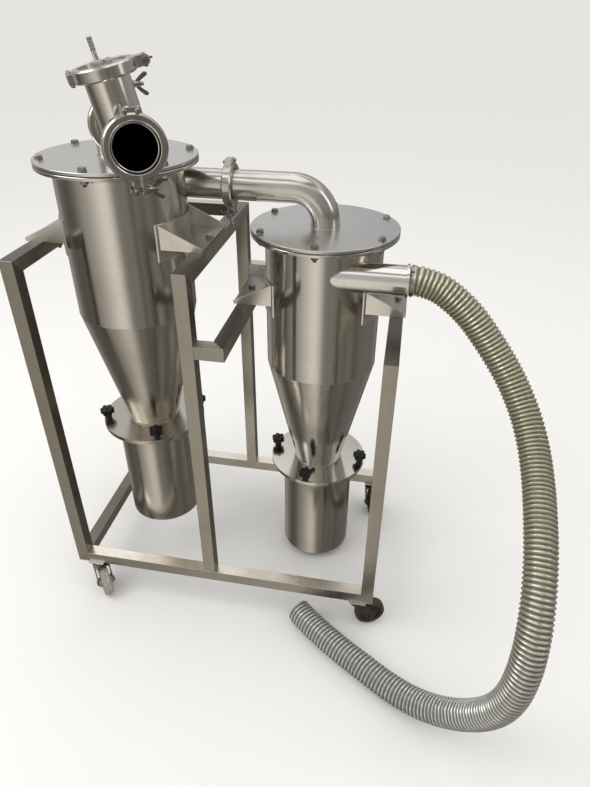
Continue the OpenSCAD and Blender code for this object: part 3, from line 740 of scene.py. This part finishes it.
def scatter(name, points, pattern, material, seed):
    mesh = bpy.data.meshes.new(name)
    mesh.from_pydata([tuple(point) for point in points], [], [])
    piece = linkObject(name, mesh)
    addModifier(piece, repeat, {
        "Part": pattern, "Turn Spread": bolt["turnSpread"], "Seed": seed, "Material": materials[material],
    })
    return finishPiece(bake(piece), material)


# The sizes of part.scad that the fasteners and welds of the cyclones follow
cyclone = {
    "boltCircle": 0.177,
    "boltTurns": (-90, -30, 30, 90, 150, 210),
    "lidPack": 0.018,
    "bracketThick": 0.005,
    "bracketRails": {"1": ("left_top_rail", "middle_top_rail"), "2": ("inner_top_rail", "right_top_rail")},
    "tube": 0.035,
    "seamDrop": 0.393,
    "footDrop": 0.757,
    "footRadius": 0.0725,
    "barrelRadius": 0.1575,
    "knobCircle": 0.138,
    "knobTurns": {"1": (-156, -66, 24, 114), "2": (-98, -8, 82, 172)},
}


# The middle of the top of a node's box
def topMiddle(node):
    low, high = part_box(node)
    return Vector(((low.x + high.x) / 2, (low.y + high.y) / 2, high.z))


axes = {label: topMiddle("lid_" + label) for label in ("1", "2")}


def makeBolts():
    pattern = boltMesh(cyclone["lidPack"])
    for label, axis in axes.items():
        points = [axis + onCircle(math.radians(turn), cyclone["boltCircle"]) for turn in cyclone["boltTurns"]]
        scatter("lidBolts" + label, points, pattern, "boltSteel", seed=int(label))
    bpy.data.objects.remove(pattern)
    pattern = boltMesh(cyclone["bracketThick"] + cyclone["tube"])
    points = []
    for label, rails in cyclone["bracketRails"].items():
        for rail in rails:
            top = topMiddle(rail)
            points.append(Vector((top.x, axes[label].y, top.z + cyclone["bracketThick"])))
    scatter("bracketBolts", points, pattern, "boltSteel", seed=5)
    bpy.data.objects.remove(pattern)


makeBolts()
print("stage: bolts")


# Clamp bolts with wing nuts, hinge pins and the small parts of the pipes

pipes = {
    "outletFoot": (220, 237, 1399),
    "outletTurn": -58.4,
    "elbowJoint": 0.100,
    "portReach": 0.355,
    "branchReach": 0.255,
    "branchLean": 12.0,
    "branchLength": 0.124,
    "capTop": 0.006,
    "outletRing": 0.0615,
    "crossoverMiddle": (467, 352.5, 1229),
    "crossoverRing": 0.055,
    "sideRadius": 0.038,
}
outlet = shift(*at(*pipes["outletFoot"])) @ turned("Z", pipes["outletTurn"])
branch = outlet @ shift(pipes["branchReach"], 0, 0) @ turned("X", pipes["branchLean"])
crossover = shift(*at(*pipes["crossoverMiddle"]))

wingNut = {
    "hub": ((0.008064, 0), (0.008064, 0.00306), (0.0072, 0.00442), (0.005904, 0.017)),  # radius, height
    "hubLength": 0.017,
    "hubSides": 20,
    "wing": (
        (0.00432, 0.00714), (0.009, 0.0085), (0.01728, 0.01734), (0.02352, 0.0255), (0.02304, 0.03162),
        (0.01776, 0.03315), (0.01248, 0.0255), (0.00684, 0.01734), (0.00432, 0.01666),
    ),
    "wingThick": 0.0034,
}


# Its hub stands on the origin along Z, and its wings lean outward in the XZ plane
def addWingNut(bm, place):
    addLathe(bm, wingNut["hub"], place, wingNut["hubSides"])
    half = wingNut["wingThick"] / 2
    for wing in (wingNut["wing"], [(-x, z) for x, z in reversed(wingNut["wing"])]):
        addLoft(bm, [(wing, -half), (wing, half)], place @ turned("X", 90))


clampRod = {
    "out": 0.017,  # from the clamp ring to the rod's middle line
    "lugFace": 0.013,
    "lugHalf": 0.010,
    "radius": 0.0040,
    "pitch": 0.0018,
    "behind": 0.002,
    "beyond": 0.009,
    "head": (0.013, 0.006),  # across the flats, height
    "washer": 0.009,
    "washerThick": 0.0018,
    "washerSides": 20,
    "eye": (0.0042, 0.0030),  # radius, height
    "eyeIn": 0.0045,
}
hinge = {
    "out": 0.003,
    "apart": 0.012,
    "clampHalf": 0.012,
    "pin": (0.0046, 0.0022),  # radius, height
}


# A rod through both lugs, its eye pin in one lug, and a wing nut beyond the other
def clampBolt(bm, place, ring, nutSide, reach, nutTurn):
    middle = place @ shift(ring + clampRod["out"], 0, 0)
    along = middle @ turned("X", -nutSide * 90)
    face = clampRod["lugFace"]
    washer, thick = clampRod["washer"], clampRod["washerThick"]
    tip = face + reach + wingNut["hubLength"] + clampRod["beyond"]
    threadedRod(bm, clampRod["radius"], -face - clampRod["behind"], tip, along, clampRod["pitch"])
    hexHead(bm, *clampRod["head"], along @ shift(0, 0, -face) @ turned("X", 180))
    addLathe(bm, [(washer, 0), (washer, thick)], along @ shift(0, 0, face), clampRod["washerSides"])
    addWingNut(bm, along @ shift(0, 0, face + thick + reach) @ turned("Z", nutTurn))
    for end in (1, -1):
        eye = middle @ shift(0, -nutSide * (face - clampRod["eyeIn"]), end * clampRod["lugHalf"])
        addDome(bm, *clampRod["eye"], eye @ turned("X", 0 if end > 0 else 180))


def hingePins(bm, place, ring):
    for side in (1, -1):
        for end in (1, -1):
            pin = place @ shift(-ring - hinge["out"], side * hinge["apart"], end * hinge["clampHalf"])
            addDome(bm, *hinge["pin"], pin @ turned("X", 0 if end > 0 else 180))


def makeFittings():
    bm = bmesh.new()
    elbowJoint = outlet @ shift(pipes["elbowJoint"], 0, 0) @ turned("Y", -90)
    port = outlet @ shift(pipes["portReach"], 0, 0) @ turned("Y", 90)
    cap = branch @ shift(0, 0, pipes["branchLength"]) @ turned("Z", 90)
    # place, ring, the nut's side, how far it stands off the lug and how far its wings are turned
    clamps = [
        (elbowJoint, pipes["outletRing"], 1, 0.030, 5),
        (port, pipes["outletRing"], 1, 0.0, 22),
        (cap, pipes["outletRing"], 1, 0.0, 12),
        (crossover @ turned("Y", 90), pipes["crossoverRing"], -1, 0.004, 40),
    ]
    for place, ring, nutSide, reach, nutTurn in clamps:
        clampBolt(bm, place, ring, nutSide, reach, nutTurn)
        hingePins(bm, place, ring)
    finishPiece(linkMesh("clampBolts", bm), "boltSteel")


# Rings in the open port: how far beyond the clamp's middle, and each one's radius and section
portRings = {
    "sealReach": 0.0032,
    "seal": (0.0462, 0.0010),
    "bead": (0.0437, 0.0011),
    "lipReach": 0.0118,
    "lip": (0.0484, 0.0015),
}


# The gasket in each clamped joint shows only at the open port
def makeSeals():
    face = outlet @ shift(pipes["portReach"] + portRings["sealReach"], 0, 0) @ turned("Y", 90)
    lip = outlet @ shift(pipes["portReach"] + portRings["lipReach"], 0, 0) @ turned("Y", 90)
    bm = bmesh.new()
    addRing(bm, *portRings["seal"], face)
    finishPiece(linkMesh("portSeal", bm), "gasketRubber")
    bm = bmesh.new()
    addRing(bm, *portRings["bead"], face)
    addRing(bm, *portRings["lip"], lip)
    finishPiece(linkMesh("portBead", bm), "pipeSteel")


# Heights are above the cap
nozzle = {
    "off": -0.007,
    "threads": (0.014, 0.016, 0.018, 0.020, 0.022),
    "thread": (0.0045, 0.0006),  # radius of the ring and of its section
    "threadSides": (24, 6),
    "barbs": (0.029, 0.0345, 0.040, 0.0455),
    "barb": ((0.0044, 0), (0.0054, 0.0006), (0.0046, 0.0044)),  # radius, height
    "barbSides": 20,
    "plugOff": 0.013,
    "plugTop": 0.0104,
    "plugHead": (0.0042, 0.0026),
}


# Barbs and a thread on the nozzle, and a screw head in the plug beside it
def makeNozzle():
    bm = bmesh.new()
    cap = branch @ shift(0, 0, pipes["branchLength"] + pipes["capTop"])
    foot = cap @ shift(0, nozzle["off"], 0)
    for height in nozzle["threads"]:
        addRing(bm, *nozzle["thread"], foot @ shift(0, 0, height), *nozzle["threadSides"])
    for height in nozzle["barbs"]:
        addLathe(bm, nozzle["barb"], foot @ shift(0, 0, height), nozzle["barbSides"])
    addDome(bm, *nozzle["plugHead"], cap @ shift(0, nozzle["plugOff"], nozzle["plugTop"]))
    finishPiece(linkMesh("nozzleBarbs", bm), "boltSteel")


hoseClamp = {
    "middle": (951, 237, 1049),
    "clearance": 0.0006,
    "thick": 0.003,
    "half": 0.003,
    "sides": 64,
    "housingTurn": 205,
    "housingOut": 0.002,
    "housingHalf": (0.003, 0.007, 0.0042),
    "screw": (0.007, 0.006),  # across the flats, height
    "screwOut": 0.001,
}


# A narrow band with its screw housing, where the hose meets the pipe's collar
def makeHoseClamp():
    bm = bmesh.new()
    outer = hose["diameter"] / 2 + hoseClamp["clearance"]
    inner = outer - hoseClamp["thick"]
    half = hoseClamp["half"]
    band = shift(*at(*hoseClamp["middle"])) @ turned("Y", 90)
    addLathe(bm, [(inner, -half), (outer, -half), (outer, half), (inner, half)], band, hoseClamp["sides"])
    housing = band @ turned("Z", hoseClamp["housingTurn"]) @ shift(outer + hoseClamp["housingOut"], 0, 0)
    x, y, z = hoseClamp["housingHalf"]
    outline = [(-x, -y), (x, -y), (x, y), (-x, y)]
    addLoft(bm, [(outline, -z), (outline, z)], housing)
    hexHead(bm, *hoseClamp["screw"], housing @ turned("X", 90) @ shift(hoseClamp["screwOut"], 0, y))
    finishPiece(linkMesh("hoseClamp", bm), "boltSteel")


knobCap = {"radius": 0.0085, "height": 0.0022, "sides": 20}


# A domed cap on each star knob, at the knobs' own top faces
def makeKnobCaps():
    bm = bmesh.new()
    addDome(bm, knobCap["radius"], knobCap["height"], Matrix.Identity(4), knobCap["sides"])
    pattern = linkMesh("capPattern", bm)
    for label, turns in cyclone["knobTurns"].items():
        middle = Vector((axes[label].x, axes[label].y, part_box("knobs_" + label)[1].z))
        centres = [middle + onCircle(math.radians(turn), cyclone["knobCircle"]) for turn in turns]
        scatter("knobCaps" + label, centres, pattern, "blackPlastic", seed=3)
    bpy.data.objects.remove(pattern)


makeFittings()
makeSeals()
makeNozzle()
makeHoseClamp()
makeKnobCaps()
print("stage: fittings")


# Welds

weld = {
    "radius": 0.0010,
    "ripples": ((0.18, 1.9), (0.09, 0.7)),  # depth and pace of each wave on a bead
    "step": 0.004,
    "around": 6,
    "junctionPoints": 72,
    "seam": (-0.0006, 0.75),  # how far outside the shell it runs, and how thick it is
    "foot": (0.0006, 2.2),
    "junction": 1.3,
    "post": 1.1,
    # where a pipe stands on a lid: place, radius and thickness
    "lidPipes": [((716, 352.5, 1138), 0.0382, 1.7), ((220, 237, 1318), 0.0447, 1.8)],
    # where a pipe leaves the side of a barrel
    "sidePipes": {"2": (716, 237, 1049), "1": (220, 352.5, 1229)},
}


def addBead(bm, points, thickness):
    radii = []
    for i in range(len(points)):
        ripple = sum(depth * math.sin(i * pace) for depth, pace in weld["ripples"])
        radii.append(weld["radius"] * thickness * (1 + ripple))
    sweepLoop(bm, points, radii, weld["around"])


def circlePoints(centre, radius):
    count = max(12, int(2 * math.pi * radius / weld["step"]))
    return [centre + onCircle(angle, radius) for angle in circleAngles(count)]


# Along each side of a closed outline, without its corners twice
def outlinePoints(corners):
    points = []
    for a, b in zip(corners, corners[1:] + corners[:1]):
        count = max(2, int((b - a).length / weld["step"]))
        points += [a.lerp(b, k / count) for k in range(count)]
    return points


# Where a pipe along X leaves the side of a barrel
def junctionPoints(axis, pipe):
    points = []
    for angle in circleAngles(weld["junctionPoints"]):
        y = pipe.y + pipes["sideRadius"] * math.cos(angle)
        inside = cyclone["barrelRadius"] ** 2 - (y - axis.y) ** 2
        x = axis.x + math.sqrt(max(inside, 0))
        points.append(Vector((x, y, pipe.z + pipes["sideRadius"] * math.sin(angle))))
    return points


def makeWelds():
    bm = bmesh.new()
    seams = [
        (cyclone["seamDrop"], cyclone["barrelRadius"], weld["seam"]),
        (cyclone["footDrop"] - weld["radius"], cyclone["footRadius"], weld["foot"]),
    ]
    for axis in axes.values():
        for drop, radius, (outside, thickness) in seams:
            addBead(bm, circlePoints(axis - up * drop, radius + outside), thickness)
    for place, radius, thickness in weld["lidPipes"]:
        addBead(bm, circlePoints(at(*place), radius), thickness)
    for label, place in weld["sidePipes"].items():
        addBead(bm, junctionPoints(axes[label], at(*place)), weld["junction"])
    finishPiece(linkMesh("shellWelds", bm), "weldSteel")
    bm = bmesh.new()
    for post in nodeMaterials["postSteel"]:
        low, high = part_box(post)
        sides = [(low.x, low.y), (high.x, low.y), (high.x, high.y), (low.x, high.y)]
        addBead(bm, outlinePoints([Vector((x, y, low.z)) for x, y in sides]), weld["post"])
    finishPiece(linkMesh("frameWelds", bm), "weldSteel")


makeWelds()
print("stage: welds")


# Stage and light

stage = {
    "floorHalf": 60,
    "floorColour": (0.80, 0.79, 0.775),
    "floorRoughness": 0.85,
    "floorSpecular": 0.2,
    "backdrop": (0.792, 0.777, 0.748),
    "fill": (1.0, 0.99, 0.97),
}


# A pale floor that polished steel doesn't mirror: its reflections see the room below the horizon instead
def makeFloor():
    bm = bmesh.new()
    half = stage["floorHalf"]
    for x, y in ((-half, -half), (half, -half), (half, half), (-half, half)):
        bm.verts.new((x, y, 0))
    bm.faces.new(bm.verts)
    floor = linkMesh("floor", bm)
    material, tree, shader = newMaterial("floorPaint")
    feed(tree, shader, {
        "Base Color": stage["floorColour"],
        "Roughness": stage["floorRoughness"],
        "Specular IOR Level": stage["floorSpecular"],
    })
    mirrored = addNode(tree, "ShaderNodeLightPath").outputs["Is Glossy Ray"]
    clear = addNode(tree, "ShaderNodeBsdfTransparent").outputs["BSDF"]
    surface = mixShaders(tree, mirrored, shader.outputs["BSDF"], clear)
    feed(tree, tree.nodes["Material Output"], {"Surface": surface})
    floor.data.materials.append(material)


white = (1, 1, 1)
room = {
    # what the steel mirrors: azimuth in degrees from +X toward +Y, and brightness
    "lower": [
        (-180, 0.12), (-168, 0.11), (-154, 0.20), (-142, 0.35), (-130, 0.44), (-116, 0.66), (-103, 0.88),
        (-94, 0.90), (-86, 0.62), (-79, 0.26), (-70, 0.22), (-60, 0.25), (-53, 0.10), (-45, 0.22),
        (-34, 0.13), (-24, 0.22), (-10, 0.11), (2, 0.17), (30, 0.18), (46, 0.16), (62, 0.24),
        (80, 0.16), (100, 0.12), (125, 0.34), (150, 0.34), (168, 0.16), (180, 0.12),
    ],
    "upper": [
        (-180, 0.35), (-140, 0.42), (-112, 0.70), (-88, 0.50), (-40, 0.28), (10, 0.34), (60, 0.44),
        (90, 0.46), (100, 0.60), (112, 0.66), (130, 0.60), (160, 0.45), (180, 0.40),
    ],
    # how that is scaled by the height of the direction, from straight down to straight up
    "heights": [
        (-1, 0.20), (-0.97, 0.35), (-0.88, 0.80), (-0.70, 1.0), (0.52, 1.0),
        (0.60, 1.05), (0.69, 2.1), (0.79, 2.5), (0.87, 0.7), (1, 0.35),
    ],
    "lowerTint": (1.0, 0.95, 0.87),
    "upperTint": (1.0, 0.99, 0.98),
    "horizon": (-0.10, 0.16),  # heights between which lower passes into upper
}


# A ramp over a value from 0 to 1; the stops are spread from their first mark to their last
def brightnessRamp(tree, value, stops, tint):
    ramp = addNode(tree, "ShaderNodeValToRGB", {"Fac": value})
    elements = ramp.color_ramp.elements
    first, last = stops[0][0], stops[-1][0]
    for mark, brightness in stops:
        position = (mark - first) / (last - first)
        if mark == first:
            element = elements[0]
        elif mark == last:
            element = elements[-1]
        else:
            element = elements.new(position)
        element.position = position
        element.color = (*(brightness * part for part in tint), 1)
    return ramp.outputs["Color"]


# Steel sees the room, the camera sees the backdrop, and everything else gets an even fill
def makeWorld():
    world = bpy.data.worlds.new("studio")
    world.use_nodes = True
    bpy.context.scene.world = world
    tree = world.node_tree
    tree.nodes.clear()
    place = addNode(tree, "ShaderNodeTexCoord").outputs["Generated"]
    way = addNode(tree, "ShaderNodeSeparateXYZ", {"Vector": place}).outputs
    azimuth = remap(tree, mathNode(tree, "ARCTAN2", way["Y"], way["X"]), 0.0, 1.0, -math.pi, math.pi)
    height = remap(tree, way["Z"], 0.0, 1.0, -1, 1)
    lower = brightnessRamp(tree, azimuth, room["lower"], room["lowerTint"])
    upper = brightnessRamp(tree, azimuth, room["upper"], room["upperTint"])
    seen = mixColours(tree, remap(tree, way["Z"], 0.0, 1.0, *room["horizon"]), lower, upper)
    level = brightnessRamp(tree, height, room["heights"], white)
    seen = mixColours(tree, 1, seen, level, "MULTIPLY")
    fill, mirrored, backdrop = (
        addNode(tree, "ShaderNodeBackground", {"Color": colour}).outputs["Background"]
        for colour in (stage["fill"], seen, stage["backdrop"]))
    ray = addNode(tree, "ShaderNodeLightPath").outputs
    shown = mixShaders(tree, ray["Is Glossy Ray"], fill, mirrored)
    shown = mixShaders(tree, ray["Is Camera Ray"], shown, backdrop)
    addNode(tree, "ShaderNodeOutputWorld", {"Surface": shown})


lamps = {
    "keyLight": {
        "place": (-2.4, -1.2, 3.2), "target": (0, 0, 0.6), "size": (2.4, 2.4),
        "power": 44, "colour": white,
    },
    "sideLight": {
        "place": (3.0, -0.4, 2.6), "target": (0.1, 0, 0.8), "size": (0.8, 2.2),
        "power": 9, "colour": (1, 0.98, 0.95),
    },
    "topLight": {
        "place": (0.1, 0.2, 4.4), "target": (0, 0, 0.5), "size": (2.4, 2.4),
        "power": 22, "colour": white,
    },
}


def makeLamp(name, lamp):
    data = bpy.data.lights.new(name, "AREA")
    data.shape = "RECTANGLE"
    data.size, data.size_y = lamp["size"]
    data.energy = lamp["power"]
    data.color = lamp["colour"]
    light = linkObject(name, data)
    light.location = lamp["place"]
    way = Vector(lamp["target"]) - Vector(lamp["place"])
    light.rotation_euler = way.to_track_quat("-Z", "Y").to_euler()


makeFloor()
makeWorld()
for lampName, lampSettings in lamps.items():
    makeLamp(lampName, lampSettings)
bpy.context.scene.view_settings.view_transform = "Standard"
print("stage: light")
